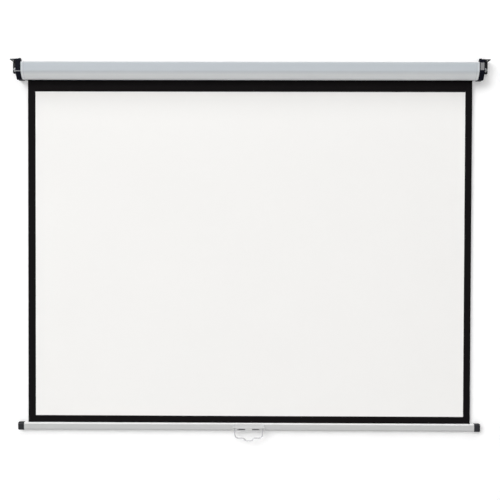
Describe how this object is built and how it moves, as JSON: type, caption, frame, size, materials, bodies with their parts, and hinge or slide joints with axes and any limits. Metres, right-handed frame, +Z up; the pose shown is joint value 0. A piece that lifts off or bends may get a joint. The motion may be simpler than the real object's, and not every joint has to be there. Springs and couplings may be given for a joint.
{
  "type": "pull-down projector screen",
  "caption": "Wall-hung manual projector screen: black-bordered picture cloth on a spring roller in a slim grey case, with a weighted bottom bar and wire pull handle.",
  "frame": {"origin": "on the wall plane, midway between the two brackets, level with the roller axis", "axes": "+X along the roller to the viewer's right, +Y into the wall, +Z up; the picture faces -Y"},
  "size_m": [1.6626, 0.094, 1.3299],
  "materials": {
    "case_paint": "satin light grey paint",
    "bar_paint": "satin light grey paint",
    "grey_plastic": "fine-textured moulding",
    "black_plastic": "semi-gloss moulding",
    "black_steel": "satin black paint",
    "zinc_steel": "bright zinc plate",
    "handle_wire": "satin zinc plate",
    "spring_steel": "oiled spring wire",
    "nylon": "natural moulding",
    "picture_surface": "matte white coated cloth",
    "black_cloth": "matte black coated cloth"
  },
  "bodies": {
    "case": {"case_shell": "case_paint", "end_cap_left": "black_plastic", "end_cap_right": "black_plastic", "wall_bracket_left": "black_steel", "wall_bracket_right": "black_steel", "cap_screw_left_rear": "zinc_steel", "cap_screw_right_rear": "zinc_steel", "cap_screw_left_front": "zinc_steel", "cap_screw_right_front": "zinc_steel", "retaining_screw_left": "zinc_steel", "retaining_screw_right": "zinc_steel", "wall_screw_left": "zinc_steel", "wall_screw_right": "zinc_steel", "idler_bush": "nylon", "spring_shaft": "zinc_steel", "ratchet_hub": "zinc_steel", "spring_anchor": "nylon", "screen_fabric": "picture_surface"},
    "roller": {"roller_tube": "zinc_steel", "fabric_wraps": "black_cloth", "idler_plug": "nylon", "idler_pin": "zinc_steel", "drive_plug": "nylon", "pawl_pin": "zinc_steel", "torsion_spring": "spring_steel", "shaft_bearing": "nylon"},
    "pawl": {"pawl": "zinc_steel"},
    "screen_bar": {"bottom_bar": "bar_paint", "fabric_hem": "black_cloth", "hem_rod": "zinc_steel", "bar_cap_left": "black_plastic", "bar_cap_right": "black_plastic", "handle_housing": "grey_plastic", "housing_screw_left": "zinc_steel", "housing_screw_right": "zinc_steel"},
    "handle": {"handle_bail": "handle_wire"}
  },
  "joints": [
    {"name": "screen_slide", "type": "slide", "parent": "case", "child": "screen_bar", "axis": [0, 0, 1], "range_m": [0, 1.193], "deforming": ["screen_fabric"]},
    {"name": "roller_spin", "type": "hinge", "parent": "case", "child": "roller", "pos_m": [0, -0.0358, 0], "axis": [1, 0, 0], "range_deg": [0, 3420.1]},
    {"name": "pawl_swing", "type": "hinge", "parent": "roller", "child": "pawl", "pos_m": [0.7713, -0.0438, 0.009], "axis": [1, 0, 0], "range_deg": [-18, 0]},
    {"name": "handle_swing", "type": "hinge", "parent": "screen_bar", "child": "handle", "pos_m": [0, -0.03315, -1.2475], "axis": [1, 0, 0], "range_deg": [-92, 40]}
  ],
  "couplings": [
    {"joint": "roller_spin", "follows": "screen_slide", "rad_per_m": 50.034}
  ]
}
